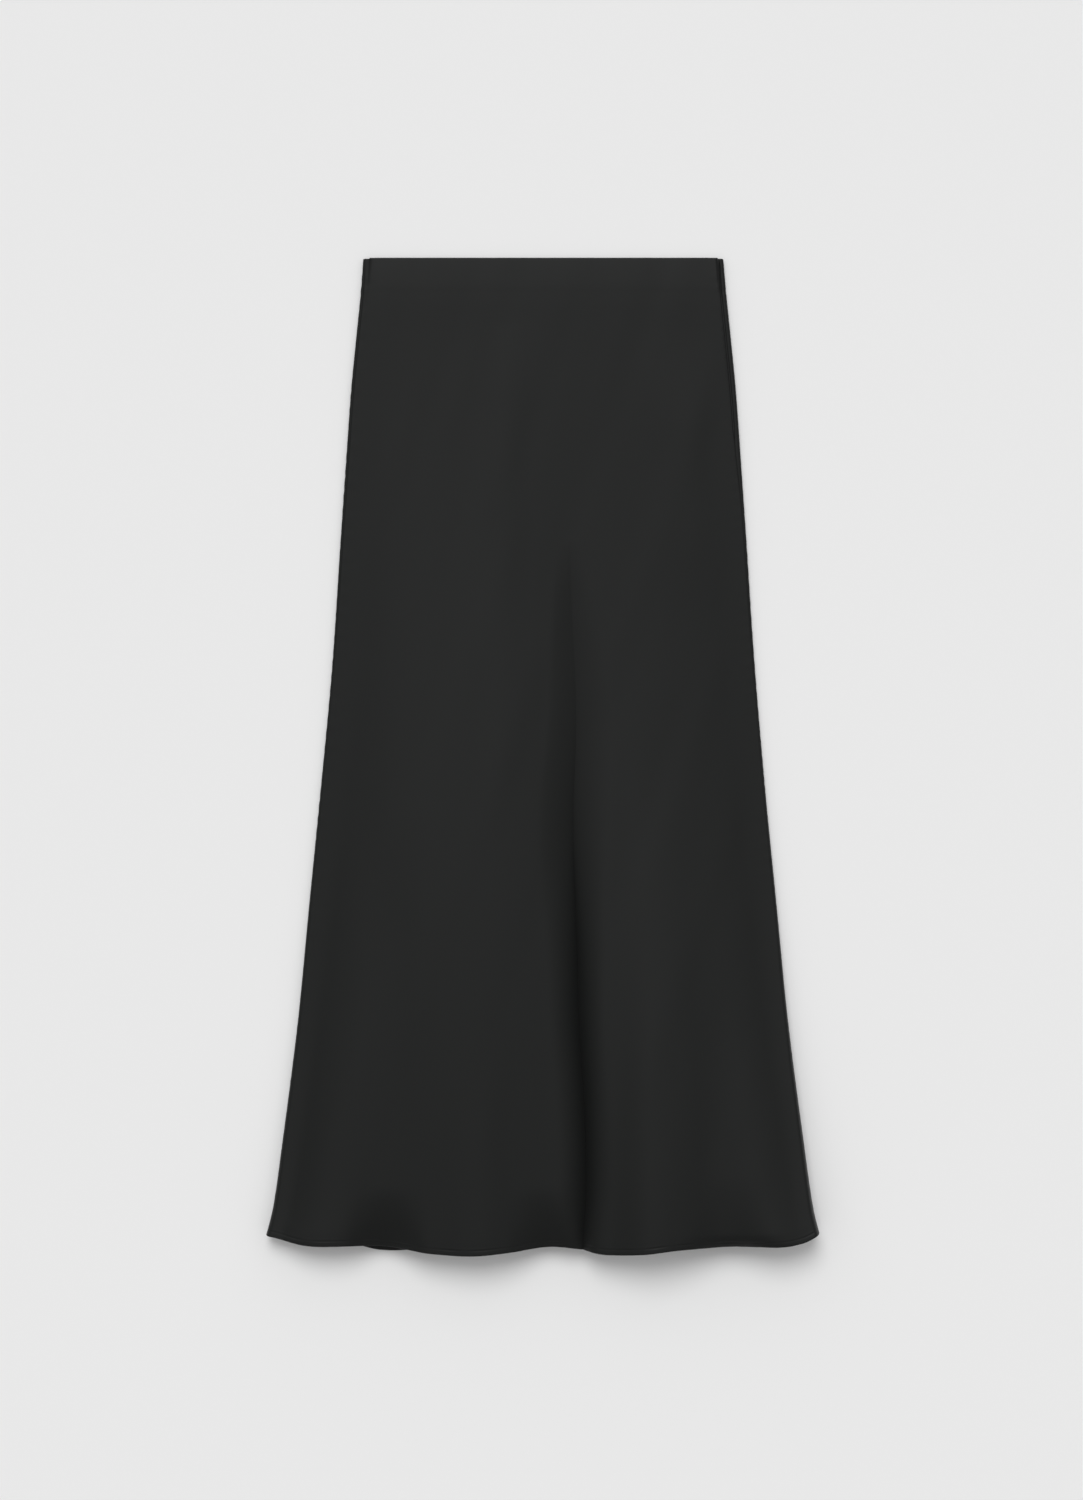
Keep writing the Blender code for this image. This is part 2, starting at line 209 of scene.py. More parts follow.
# the hem's own slight waves: the place across, the length added, the reach left and right
hemWaves = {
    "leftCorner": (-0.217, 0.0030, 0.035, 0.045),
    "left": (-0.072, 0.0036, 0.090, 0.060),
    "centre": (0.012, -0.0020, 0.040, 0.030),
    "right": (0.060, 0.0030, 0.034, 0.058),
    "rightFall": (0.126, -0.0012, 0.034, 0.030),
    "rightRise": (0.178, 0.0013, 0.040, 0.028),
    "rightCorner": (0.220, 0.0032, 0.060, 0.032),
    "rightEnd": (0.253, -0.0036, 0.018, 0.010),
}
backDrop = (-0.148, 0.0056, 0.036, 0.055)   # where the back hangs out below the front, in the same way
# the groove: distance down, its centre, its reach to either side, the share of the loft that it takes
# away, how much steeper its walls are at the bottom
grooveWords = ("down", "across", "left", "right", "share", "sharpness")
grooveRows = (
    (0.262, 0.0240, 0.012, 0.012, 0.00, 1.5),
    (0.315, 0.0256, 0.018, 0.022, 0.68, 1.5),
    (0.420, 0.0300, 0.026, 0.034, 0.80, 1.6),
    (0.520, 0.0276, 0.032, 0.036, 0.80, 1.8),
    (0.620, 0.0308, 0.029, 0.029, 0.76, 2.0),
    (0.700, 0.0332, 0.027, 0.026, 0.69, 2.0),
    (0.780, 0.0382, 0.026, 0.024, 0.60, 2.0),
    (0.850, 0.0392, 0.026, 0.023, 0.56, 2.0),
    (0.903, 0.0362, 0.029, 0.021, 0.55, 2.0),
)
groove = dict(zip(grooveWords, zip(*grooveRows)))
pinch = {"depth": 0.0005, "width": 0.0022, "start": 0.330, "full": 0.720, "fade": 0.850, "end": 0.900}
# flutes stand up by their size in metres; dips take away their size as a share of the height
foldWords = ("start", "acrossStart", "acrossHem", "size", "left", "right", "narrow", "growth")
flutes = {
    "leftLobe": (0.420, -0.195, -0.212, 0.0024, 0.050, 0.060, 0.90, 1.0),
    "leftRidge": (0.060, -0.034, -0.066, 0.0020, 0.060, 0.050, 0.60, 0.6),
    "leftCrest": (0.700, -0.060, -0.056, 0.0040, 0.045, 0.036, 0.90, 1.4),
    "rightRidge": (0.460, 0.100, 0.101, 0.0130, 0.050, 0.078, 0.80, 1.5),
    "rightLobe": (0.520, 0.190, 0.218, 0.0090, 0.074, 0.048, 0.90, 1.3),
}
dips = {
    "leftHollow": (0.540, -0.146, -0.156, 0.120, 0.060, 0.060, 0.80, 1.0),
    "leftDip": (0.846, -0.142, -0.145, 0.640, 0.038, 0.044, 0.90, 1.6),
    "centreDip": (0.846, -0.0020, 0.0060, 0.560, 0.040, 0.040, 0.90, 1.6),
    "rightDip": (0.835, 0.170, 0.176, 0.200, 0.050, 0.040, 0.90, 1.6),
}
flutes = [dict(zip(foldWords, row)) for row in flutes.values()]
dips = [dict(zip(foldWords, row)) for row in dips.values()]


def smooth(share):
    share = np.clip(share, 0, 1)
    return share * share * (3 - 2 * share)


def bump(offset, width):
    # a round hill, 1 at its middle and 0 from a width away
    return np.where(np.abs(offset) < width, 0.5 + 0.5 * np.cos(np.pi * np.clip(offset / width, -1, 1)), 0)


def tableAt(table, down, column):
    # a column of a table on a smooth curve through its rows
    knots, values = np.array(table["down"]), np.array(table[column])
    down = np.clip(down, knots[0], knots[-1])
    low = np.clip(np.searchsorted(knots, down, side="right") - 1, 0, len(knots) - 2)
    before = np.maximum(0, np.arange(len(knots)) - 1)
    after = np.minimum(len(knots) - 1, np.arange(len(knots)) + 1)
    slope = (values[after] - values[before]) / (knots[after] - knots[before])
    step = knots[low + 1] - knots[low]
    u = (down - knots[low]) / step
    return (
        (2 * u**3 - 3 * u**2 + 1) * values[low]
        + (u**3 - 2 * u**2 + u) * step * slope[low]
        + (3 * u**2 - 2 * u**3) * values[low + 1]
        + (u**3 - u**2) * step * slope[low + 1]
    )


def atDown(down, column):
    return tableAt(outline, down, column)


def hill(offset, left, right):
    return bump(offset, np.where(offset < 0, left, right))


def waistDown(across):
    return skirt["cornerDrop"] * np.abs(across / outline["halfWidth"][0]) ** skirt["cornerSharpness"]


def hemDown(across, over=True):
    # the length down to the hem, of the front or of the back
    bends = [*hemWaves.values()] + ([] if over else [backDrop])
    wavy = sum(added * hill(across - middle, left, right) for middle, added, left, right in bends)
    arc = skirt["hemRise"] * np.abs(across / outline["halfWidth"][-1]) ** skirt["hemArc"]
    return skirt["length"] - arc + wavy


def foldWeight(fold, across, down):
    grown = np.clip((down - fold["start"]) / (skirt["length"] - fold["start"]), 0, 1)
    offset = across - (fold["acrossStart"] + (fold["acrossHem"] - fold["acrossStart"]) * grown)
    widened = fold["narrow"] + (1 - fold["narrow"]) * grown**1.5
    return grown ** fold["growth"] * hill(offset, fold["left"] * widened, fold["right"] * widened)


def insideEdge(across, down):
    # 0 at a side's roll to 1 where the front has reached its full height
    toEdge = atDown(down, "halfWidth") - np.abs(across) - atDown(down, "reach")
    share, steepest = np.clip(toEdge / atDown(down, "rise"), 0, 1), skirt["steepest"]
    return np.where(share < steepest, share**2 / steepest, 1 - (1 - share) ** 2 / (1 - steepest))


def grooveShare(across, down):
    offset = across - tableAt(groove, down, "across")
    reach = np.where(offset < 0, tableAt(groove, down, "left"), tableAt(groove, down, "right"))
    walls = (1 - np.minimum(1, np.abs(offset / reach))) ** tableAt(groove, down, "sharpness")
    return np.maximum(0, tableAt(groove, down, "share")) * walls


def pinchDepth(across, down):
    # the cloth is pinched together at the bottom of the groove
    offset = across - tableAt(groove, down, "across")
    grown = smooth((down - pinch["start"]) / (pinch["full"] - pinch["start"]))
    grown = grown * (1 - smooth((down - pinch["fade"]) / (pinch["end"] - pinch["fade"])))
    return pinch["depth"] * grown * np.exp(-np.abs(offset) / pinch["width"])


def fluteHeight(across, down):
    return sum(flute["size"] * foldWeight(flute, across, down) for flute in flutes)


def bodyHeight(across, down):
    grown = np.clip((down - skirt["loftStart"]) / (skirt["length"] - skirt["loftStart"]), 0, 1)
    left, right = skirt["loftGrowth"]
    growth = left + (right - left) * smooth(across / skirt["loftTurn"] + 0.5)
    tall = skirt["loft"] * np.sin(grown * np.pi / 2) ** growth + fluteHeight(across, down)
    for dip in dips:
        tall = tall * (1 - dip["size"] * foldWeight(dip, across, down))
    return tall * (1 - grooveShare(across, down))


def edgeLift(across, down):
    toEdge = atDown(down, "halfWidth") - np.abs(across)
    return atDown(down, "lift") * smooth(1 - toEdge / skirt["liftReach"])


def backHeight(across, down):
    risen = skirt["backShare"] * np.maximum(0, fluteHeight(across, down) - skirt["backRest"])
    return edgeLift(across, down) + risen * insideEdge(across, down)


def frontHeight(across, down):
    inside = insideEdge(across, down)
    loop = np.where(across > 0, atDown(down, "rightLoop"), atDown(down, "loop"))
    stack = loop + (atDown(down, "stack") - loop) * inside
    return edgeLift(across, down) + stack + bodyHeight(across, down) * inside - pinchDepth(across, down)


def place(across, down, height):
    across, down, height = np.broadcast_arrays(across, down, height)
    low, high = skirt["swayFade"]
    sway = skirt["sway"] * (1 - smooth((down - low) / (high - low)))
    return np.stack([across + sway, skirt["length"] / 2 - down, height], axis=-1)


def quarterRoll(down):
    return atDown(down, "reach") * np.pi / 2


def rolled(side, down, along):
    # on and beside a side edge, by the distance over it from the outline, above 0 over the top
    reach, quarter = atDown(down, "reach"), quarterRoll(down)
    inner = side * (atDown(down, "halfWidth") - reach)
    low, high = backHeight(inner, down), frontHeight(inner, down)
    angle = np.clip(along / quarter, -1, 1) * np.pi / 2
    beyond = np.maximum(np.abs(along) - quarter, 0)
    level = inner - side * beyond
    height = (low + high) / 2 + (high - low) / 2 * np.sin(angle)
    onRoll = place(inner + side * reach * np.cos(angle), down, height)
    height = np.where(along > 0, frontHeight(level, down), backHeight(level, down))
    onLevel = place(level, down, height)
    return np.where((beyond > 0)[..., None], onLevel, onRoll)


def seamAlong(side, down):
    # where the side seam lies, as a distance over the edge from the outline, further in along the zip
    zipped = seams["zipIn"] * (1 - smooth((down - seams["zipEnd"]) / seams["zipRunOut"])) if side > 0 else 0
    inside = np.maximum(0, atDown(down, "seamIn")) + zipped
    reach = atDown(down, "reach")
    onRoll = np.arccos(1 - np.minimum(inside / reach, 1)) * reach
    return np.where(inside >= reach, quarterRoll(down) + inside - reach, onRoll)


# the panels' grids
grid = {
    "frontColumns": 160,
    "toGroove": 86,         # of these, up to the groove's bottom
    "closer": 6.0,          # how much closer together the front's columns are at the groove
    "closeTo": 0.0045,
    "rollGrowth": 1.25,     # columns over a side edge get further apart away from the seam
    "backColumns": 104,
    "frontRoll": 10,        # columns over a side edge
    "backRoll": 18,
    "rows": (0.0011, 0.0026, 0.0010, 0.0044, 0.0022, 0.0007),   # between rows, from mark to mark
    "marks": (0.006, 0.027, 0.034, 0.880),      # distances down
    "lastMark": 0.0085,     # above the hem
    "margin": 0.004,        # from a side roll to the even columns
}
turned = {
    "waist": 0.030,         # depth of the turned-in waist edge
    "hem": 0.0065,
    "fold": 0.0007,         # radius over a fold, on the outer side
    "foldRows": 6,
    "stitch": 0.0052,       # the hem's stitches above its edge
}
seams = {
    "zipGap": 0.00032,      # from the seam line to each panel's edge, along the zip
    "zipIn": 0.0023,        # how much further in the seam lies there
    "zipTop": 0.014,        # below the waist edge, where the zip's groove has its full depth
    "zipEnd": 0.168,
    "zipClose": 0.012,      # over which it closes above that end
    "zipRunOut": 0.070,     # over which the seam comes back out below it
    "dive": 0.00030,        # how deep the edges turn in
    "zipDive": 0.0017,
    "width": 0.0006,
    "fade": (0.26, 0.44),   # the seam gets flatter between these distances down,
    "flatter": 0.6,         # by this share
}


def rowDistances():
    # closer together at the two folded edges and at the waist turning's lower edge
    length, edge = skirt["length"], turned["fold"]
    marks = [edge, *grid["marks"], length - grid["lastMark"], length - edge]
    rows = [marks[0]]
    for low, high, step in zip(marks, marks[1:], grid["rows"]):
        count = max(1, round((high - low) / step))
        rows += [low + (high - low) * k / count for k in range(1, count + 1)]
    return np.array(rows)


rows = rowDistances()
rowShare = rows / skirt["length"]


def evenAcross(down, count, heightAt, over):
    # places across a row, evenly along the cloth but closer together at the front's groove
    reach = atDown(down, "halfWidth") - atDown(down, "reach") - grid["margin"]
    fine = np.linspace(-1, 1, 6001) * reach
    steps = np.hypot(np.diff(fine), np.diff(heightAt(fine, down)))
    if over:
        offset = (fine[1:] + fine[:-1]) / 2 - tableAt(groove, down, "across")
        steps = steps * (1 + grid["closer"] * np.exp(-((offset / grid["closeTo"]) ** 2)))
    run = np.concatenate([[0], np.cumsum(steps)])
    if not over:
        return np.interp(np.linspace(0, run[-1], count + 1), run, fine)
    # one column follows the groove's bottom
    bottom = np.interp(tableAt(groove, down, "across"), fine, run)
    left = np.linspace(0, bottom, grid["toGroove"] + 1)
    right = np.linspace(bottom, run[-1], count - grid["toGroove"] + 1)
    return np.interp([*left[:-1], *right], run, fine)


def zipShare(down):
    # 1 along the zip and 0 below it
    return 1 - smooth((down - seams["zipEnd"] + seams["zipClose"]) / seams["zipClose"])


def seamGap(down):
    return seams["zipGap"] * smooth(down / seams["zipTop"]) * zipShare(down)


def panelBase(middleCount, rollCount, heightAt, over):
    # a panel's outer side as rows of points from seam to seam, and how far each is from a seam
    middle = np.array([evenAcross(down, middleCount, heightAt, over) for down in rows])
    share = rowShare[:, None]
    spread = (np.arange(rollCount) / rollCount)[None] ** grid["rollGrowth"]
    pieces, apart = {}, {}
    for side in (-1, 1):
        hem = hemDown(side * outline["halfWidth"][-1], over)
        for _ in range(3):  # the hem's height on the roll follows from where each column ends across
            start = waistDown(outline["halfWidth"][0])
            edgeDown = start + (hem - start) * np.repeat(share, rollCount, 1)
            seam, quarter = seamAlong(side, edgeDown), quarterRoll(edgeDown)
            gap = seamGap(edgeDown) if side > 0 else 0
            first = seam + gap if over else seam - gap
            end = (quarter if over else -quarter) + (grid["margin"] if over else -grid["margin"])
            along = first + (end - first) * spread
            pieces[side] = rolled(side, edgeDown, along)
            hem = hemDown(pieces[side][-1, :, 0], over)[None]
        apart[side] = np.abs(along - seam)
        # the even columns end where the roll's begin, at the height that the hem has there
        endDown = edgeDown[:, -1:]
        reach = atDown(endDown, "halfWidth") - atDown(endDown, "reach") - grid["margin"]
        end = middle[:, :1] if side < 0 else middle[:, -1:]
        middle = middle * (1 + (reach / np.abs(end) - 1) * np.clip(middle / end, 0, 1) ** 4)
    start = waistDown(middle[0])[None]
    down = start + (hemDown(middle[-1], over)[None] - start) * share
    fromRoll = np.abs(middle[:, :1]) - np.abs(middle)
    start = np.abs((quarter if over else -quarter)[:, :1] - seam[:, :1]) + grid["margin"]
    between = place(middle, down, heightAt(middle, down))
    points = np.concatenate([pieces[-1], between, pieces[1][:, ::-1]], axis=1)
    away = np.concatenate([apart[-1], start + fromRoll, apart[1][:, ::-1]], axis=1)
    return points, away


def outwards(points):
    # the direction that faces out at each point
    along = np.gradient(points, axis=1)
    down = np.gradient(points, axis=0)
    facing = np.cross(down, along)
    return facing / np.linalg.norm(facing, axis=2, keepdims=True)


# small folds, seams and edges as relief
def waves(place, spacing, seed, count=4):
    # an uneven ripple along a line, between -1 and 1
    draw = np.random.default_rng(seed)
    lengths = spacing * draw.uniform(0.7, 1.6, count)
    phases = draw.uniform(0, 2 * np.pi, count)
    return sum(np.sin(2 * np.pi * place / size + phase) for size, phase in zip(lengths, phases)) / count


def unevenness(across, down, seed):
    # the cloth's own slight rise and fall, longer down the skirt than across
    draw = np.random.default_rng(seed)
    total = 0
    for _ in range(crepe["count"]):
        wide, long = draw.uniform(*crepe["across"]), draw.uniform(*crepe["down"])
        turn, phase = draw.uniform(-crepe["turn"], crepe["turn"]), draw.uniform(0, 2 * np.pi)
        total = total + np.sin(2 * np.pi * ((across + turn * down) / wide + down / long) + phase) * wide
    return total / crepe["count"] / crepe["fullWidth"]


frontSeed, backSeed = 11, 23
puckers = {
    "height": 0.00030,
    "start": 0.002,         # from the seam
    "reach": 0.008,
    "spacing": 0.011,
    "aboveHem": 0.004,
    "fade": 0.02,           # towards the hem and the waist edge
}
crepe = {
    "height": 0.00022,
    "count": 7,
    "across": (0.022, 0.070),       # its waves' lengths
    "down": (0.12, 0.34),
    "turn": 0.25,
    "fullWidth": 0.05,      # a wave this wide has the full height
    "besideSeam": 0.03,     # over which it fades
}
edges = {                   # relief at the turned edges
    "waistStep": 0.00007,   # how far the doubled cloth stands out
    "waistFade": (0.026, 0.033),
    "waistSink": (0.0013, 0.045),   # how far the waist edge sinks, and from how far down
    "besideSeam": 0.010,
    "hemStep": 0.00010,
    "hemFade": 0.0018,
    "stitchPull": (0.00030, 0.00030),       # of the hem's stitches, and how much it varies
    "stitchSpacing": 0.030,
    "stitchReach": 0.0011,
    "curl": 0.0006,         # how far the hem's edge turns down all along
    "rightCurl": (0.0050, 0.180, 0.075, 0.058),     # more on the right: how far, where, its reach
    "curlLength": 0.013,
    "curlGrowth": 1.7,
    "curlFade": (0.004, 0.024),     # beside the seams
    "ripple": 0.00022,      # of the hem
    "rippleSpacing": 0.0075,
    "rippleFade": (0.004, 0.020),
    "seamFade": 0.006,
}
creaseWords = ("across", "down", "acrossEnd", "downEnd", "left", "right", "height")
# soft ridges, above 0, and troughs, below 0, along straight lines that fade at both ends
frontCreases = {
    "upperLight": (-0.034, 0.010, -0.022, 0.340, 0.034, 0.070, 0.0009),
    "middleLight": (-0.020, 0.220, -0.028, 0.940, 0.052, 0.034, 0.0015),
    "leftHip": (-0.135, 0.080, -0.138, 0.640, 0.036, 0.058, 0.0006),
    "rightHip": (0.128, 0.060, 0.142, 0.340, 0.060, 0.048, 0.0016),
    "leftLow": (-0.130, 0.500, -0.142, 0.860, 0.040, 0.034, -0.0012),
    "rightLow": (0.150, 0.640, 0.172, 0.890, 0.034, 0.034, -0.0009),
}
backCreases = {
    "left": (-0.110, 0.250, -0.125, 0.620, 0.030, 0.030, -0.0008),
    "middle": (0.020, 0.120, 0.032, 0.520, 0.040, 0.030, 0.0007),
    "right": (0.120, 0.330, 0.140, 0.760, 0.028, 0.028, -0.0007),
}
creaseFade = 0.35           # share of a crease's length over which each end fades
creaseBesideSeam = 0.05


def creased(across, down, creases):
    total = 0
    for row in creases.values():
        crease = dict(zip(creaseWords, row))
        share = (down - crease["down"]) / (crease["downEnd"] - crease["down"])
        line = crease["across"] + (crease["acrossEnd"] - crease["across"]) * share
        fade = smooth(share / creaseFade) * smooth((1 - share) / creaseFade)
        total = total + crease["height"] * fade * hill(across - line, crease["left"], crease["right"])
    return total


def faded(place, ends):
    # 0 up to the first end, 1 from the last one
    return smooth((place - ends[0]) / (ends[1] - ends[0]))


def seamRelief(away, down, fromHem, right, seed):
    # the dive into a seam and the puckers beside it
    zipped = np.where(right, zipShare(down), 0)
    dive = seams["dive"] * (1 - seams["flatter"] * faded(down, seams["fade"]))
    dive = (dive + (seams["zipDive"] - seams["dive"]) * zipped) * smooth(down / seams["zipTop"])
    beside = smooth(away / puckers["start"]) * np.exp(-((away / puckers["reach"]) ** 2))
    beside = beside * smooth((fromHem - puckers["aboveHem"]) / puckers["fade"])
    beside = beside * smooth(down / puckers["fade"])
    ripple = [waves(down, puckers["spacing"], seed + k) for k in (0, 1)]
    pucker = puckers["height"] * beside * np.where(right, *ripple)
    return pucker - dive * np.exp(-((away / seams["width"]) ** 1.5))


def waistRelief(away, down):
    sink, length = edges["waistSink"]
    sunk = sink * np.clip(1 - down / length, 0, 1) ** 2 * smooth(away / edges["besideSeam"])
    return edges["waistStep"] * (1 - faded(down, edges["waistFade"])) - sunk


def hemRelief(away, across, fromHem, seed):
    # the hem's doubled cloth, the pull of its stitches, its ripple and its curl
    least, varied = edges["stitchPull"]
    pull = least + varied * waves(across, edges["stitchSpacing"], seed + 5)
    doubled = edges["hemStep"] * (1 - smooth((fromHem - turned["hem"]) / edges["hemFade"]))
    stitched = pull * bump(fromHem - turned["stitch"], edges["stitchReach"])
    ripple = edges["ripple"] * waves(across, edges["rippleSpacing"], seed + 2)
    ripple = ripple * (1 - faded(fromHem, edges["rippleFade"]))
    added, middle, left, right = edges["rightCurl"]
    curl = (edges["curl"] + added * hill(across - middle, left, right)) * faded(away, edges["curlFade"])
    curl = curl * np.clip(1 - fromHem / edges["curlLength"], 0, 1) ** edges["curlGrowth"]
    return smooth(away / edges["seamFade"]) * (doubled - stitched + ripple) - curl


def relief(points, away, creases, seed):
    # how far the cloth stands off its base
    across, down = points[..., 0], skirt["length"] / 2 - points[..., 1]
    fromHem = hemDown(across) - down
    total = seamRelief(away, down, fromHem, across > 0, seed)
    total = total + waistRelief(away, down) + hemRelief(away, across, fromHem, seed)
    total = total + smooth(away / creaseBesideSeam) * creased(across, down, creases)
    uneven = crepe["height"] * unevenness(across, down, seed + 3)
    total = total + uneven * smooth(away / crepe["besideSeam"])
    if seed == frontSeed:
        total = total * (1 - pinchDepth(across, down) / pinch["depth"])
    return total


def foldedOver(points, out, edge, beside):
    # the rows of a half turn over a folded edge
    radius, count = turned["fold"], turned["foldRows"]
    off = points[edge] - points[beside]
    off = off - out[edge] * np.sum(off * out[edge], axis=1, keepdims=True)
    off = off / np.linalg.norm(off, axis=1, keepdims=True)
    turns = [math.pi * k / count for k in range(1, count)]
    return [points[edge] + radius * (out[edge] * (math.cos(a) - 1) + off * math.sin(a)) for a in turns]


def withTurnings(points):
    # the panel's rows with its waist edge and hem turned in
    out = outwards(points)
    inside = points - 2 * turned["fold"] * out
    waistRows = int(np.searchsorted(rows, turned["waist"]))
    hemRows = int(np.sum(rows > skirt["length"] - turned["hem"]))
    last = len(rows) - 1
    top = [inside[k] for k in range(waistRows, -1, -1)] + foldedOver(points, out, 0, 1)[::-1]
    bottom = foldedOver(points, out, last, last - 1) + [inside[last - k] for k in range(hemRows + 1)]
    return np.array(top + list(points) + bottom)


def runAlong(points, axis):
    # the distance along each row, or down each column, from its first point
    steps = np.linalg.norm(np.diff(points, axis=axis), axis=-1)
    return np.concatenate([np.zeros_like(steps.take([0], axis)), np.cumsum(steps, axis)], axis)


def clothMesh(name, points, paints, sharpColumn=None):
    # a sheet through rows of points, with its distances along the cloth as UV
    count, width = points.shape[:2]
    runAcross = runAlong(points, 1)
    runAcross = runAcross - runAcross[:, -1:] / 2
    runDown = runAlong(points, 0)
    mesh = bmesh.new()
    bmesh.ops.create_grid(mesh, x_segments=width - 1, y_segments=count - 1, size=0.5)
    cut = mesh.loops.layers.uv.new("cloth")
    spots, creaseLine = {}, set()
    for vert in mesh.verts:
        i, k = round((0.5 - vert.co.y) * (count - 1)), round((vert.co.x + 0.5) * (width - 1))
        spots[vert] = (runAcross[i, k], runDown[i, k])
        vert.co = points[i, k]
        if k == sharpColumn:
            creaseLine.add(vert)
    for edge in mesh.edges:
        edge.smooth = not creaseLine.issuperset(edge.verts)
    for face in mesh.faces:
        face.smooth = True
        for corner in face.loops:
            corner[cut].uv = spots[corner.vert]
    made = bpy.data.meshes.new(name)
    mesh.to_mesh(made)
    mesh.free()
    for paint in paints:
        made.materials.append(paint.material)
    piece = bpy.data.objects.new(name, made)
    scene.collection.objects.link(piece)
    return piece


def thicken(piece, thickness):
    wall = piece.modifiers.new("wall", "SOLIDIFY")
    wall.thickness = thickness
    wall.offset = -1
    wall.use_even_offset = False
    wall.material_offset = 1
    wall.material_offset_rim = 1
    wall.use_rim = True
    return piece


# the cloth's finish
weave = {"mottle": 26.0, "fibre": 900.0, "grain": 1900.0}     # how fine each is
satin = {
    "name": "charcoalSatin",
    "colours": ((0.0070, 0.0076, 0.0073, 1), (0.0078, 0.0084, 0.0081, 1)),
    "roughness": 0.48,
    "specular": 0.155,
    "sheen": 0.02,
    "relief": 0.00006,
}
reverse = {                 # the satin's matt inner side
    "name": "charcoalReverse",
    "colours": ((0.0105, 0.0112, 0.0109, 1), (0.0125, 0.0132, 0.0129, 1)),
    "roughness": 0.68,
    "specular": 0.18,
    "sheen": 0.08,
    "relief": 0.00012,
}


def makeSatin(finish):
    paint = Paint(finish["name"])
    cloth = paint.node("ShaderNodeUVMap", {"uv_map": "cloth"})
    mottle = paint.cloud(paint.stretched(cloth, (1.0, 0.35, 1.0)), weave["mottle"], detail=3.0)
    fibre = paint.cloud(paint.stretched(cloth, (1.0, 0.06, 1.0)), weave["fibre"], detail=2.0)
    grain = paint.cloud(cloth, weave["grain"])
    paint.set(
        Base_Color=paint.blendColour((mottle * 0.7 + fibre * 0.3), *finish["colours"]),
        Roughness=finish["roughness"] + (mottle - 0.5) * 0.06 + (fibre - 0.5) * 0.05,
        Specular_IOR_Level=finish["specular"],
        Sheen_Weight=finish["sheen"],
        Sheen_Roughness=0.5,
    )
    paint.raised(grain * 0.6 + fibre * 0.4, finish["relief"])
    return paint


satinPaint, reversePaint = makeSatin(satin), makeSatin(reverse)


# the two panels
def makePanel(name, nodes, settings):
    base, away = panelBase(settings["columns"], settings["roll"], settings["height"], settings["over"])
    if not settings["over"]:
        base, away = base[:, ::-1], away[:, ::-1]
    points = base + outwards(base) * relief(base, away, settings["creases"], settings["seed"])[..., None]
    whole = withTurnings(points)
    bottom = grid["frontRoll"] + grid["toGroove"] if settings["over"] else None
    piece = thicken(clothMesh(name, whole, (satinPaint, reversePaint), bottom), skirt["cloth"])
    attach(piece, "root")
    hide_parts(*nodes)
    print(name, whole.shape, "highest", round(float(whole[..., 2].max()), 4))
    return piece, points, whole


frontPiece, frontPoints, frontWhole = makePanel(
    "frontPanel",
    ("front_panel", "front_waist_turning", "front_hem"),
    {"columns": grid["frontColumns"], "roll": grid["frontRoll"], "height": frontHeight, "over": True,
     "creases": frontCreases, "seed": frontSeed},
)
backPiece, backPoints, backWhole = makePanel(
    "backPanel",
    ("back_panel", "back_waist_turning", "back_hem"),
    {"columns": grid["backColumns"], "roll": grid["backRoll"], "height": backHeight, "over": False,
     "creases": backCreases, "seed": backSeed},
)

# seam allowances and zip, inside the side seams
allowance = {
    "over": 0.0015,         # on the front's side of the seam
    "wide": 0.0135,
    "start": 0.003,
    "end": 0.007,           # above the hem
    "zipped": 0.1705,       # where the right one starts, below the zip
    "inset": (0.0025, 0.0014),      # from the cloth's outer side: within the waist turning, and below it
    "thickness": 0.0006,
    "rows": 0.0040,
    "columns": 14,
    "ripple": 0.0003,       # of the free edge
    "rippleSpacing": 0.012,
    "insetChange": 0.012,   # over which one inset turns into the other
}
overlock = {                # stitches over an allowance's free edge
    "start": 0.002,
    "pitch": 0.0025,
    "inwards": 0.0016,
    "size": (0.0038, 0.0005),
    "proud": 0.0003,
}
zipParts = {
    "start": 0.003,
    "end": 0.168,
    "inset": (0.0022, 0.0013),
    "thickness": 0.0004,
    "pitch": 0.0015,        # of the teeth
    "tooth": (0.0011, 0.0009, 0.0009),      # across, along and through
    "stopAbove": 0.004,     # the tape's end
    "clear": 0.002,         # from the ends to the nearest teeth
    "bevel": 0.18,          # of a tooth, as a share of its size
    "zigzag": 0.00012,      # of every other tooth
    "tape": (0.0040, 0.0165),       # on the front's side of the seam, and round the roll onto the back
    "stop": (0.0030, 0.0020, 0.0012),
}


def insetAt(down, insets):
    share = smooth((down - turned["waist"]) / allowance["insetChange"])
    return insets[0] + (insets[1] - insets[0]) * share


def insideStrip(name, side, downs, strip, paints, wavy, over, wide):
    # a strip that lies inside a side seam, from the front's side round the roll onto the back
    finely = np.linspace(0, 1, 161)[None]     # fine places, to measure along the cloth
    down = np.repeat(downs[:, None], finely.shape[1], 1)
    first, last = seamAlong(side, down) + over, -quarterRoll(down) - wide
    alongs = first + (last - first) * finely
    spots = rolled(side, down, alongs)
    run = runAlong(spots, 1)
    wanted = np.linspace(0, 1, allowance["columns"] + 1)
    widths = wide + wavy * waves(downs, allowance["rippleSpacing"], 41 + side)
    along = np.array([np.interp(width * wanted, *pair) for width, *pair in zip(widths, run, alongs)])
    down = down[:, : along.shape[1]]
    cover = rolled(side, down, along)
    if side > 0:
        cover = cover[:, ::-1]
    points = cover + outwards(cover) * insetAt(down, strip["inset"])[..., None]
    return thicken(clothMesh(name, points, paints), strip["thickness"]), points


def placeAlong(distance, run, line):
    # the place at a distance along a line of points
    return np.array([np.interp(distance, run, line[:, axis]) for axis in range(3)])


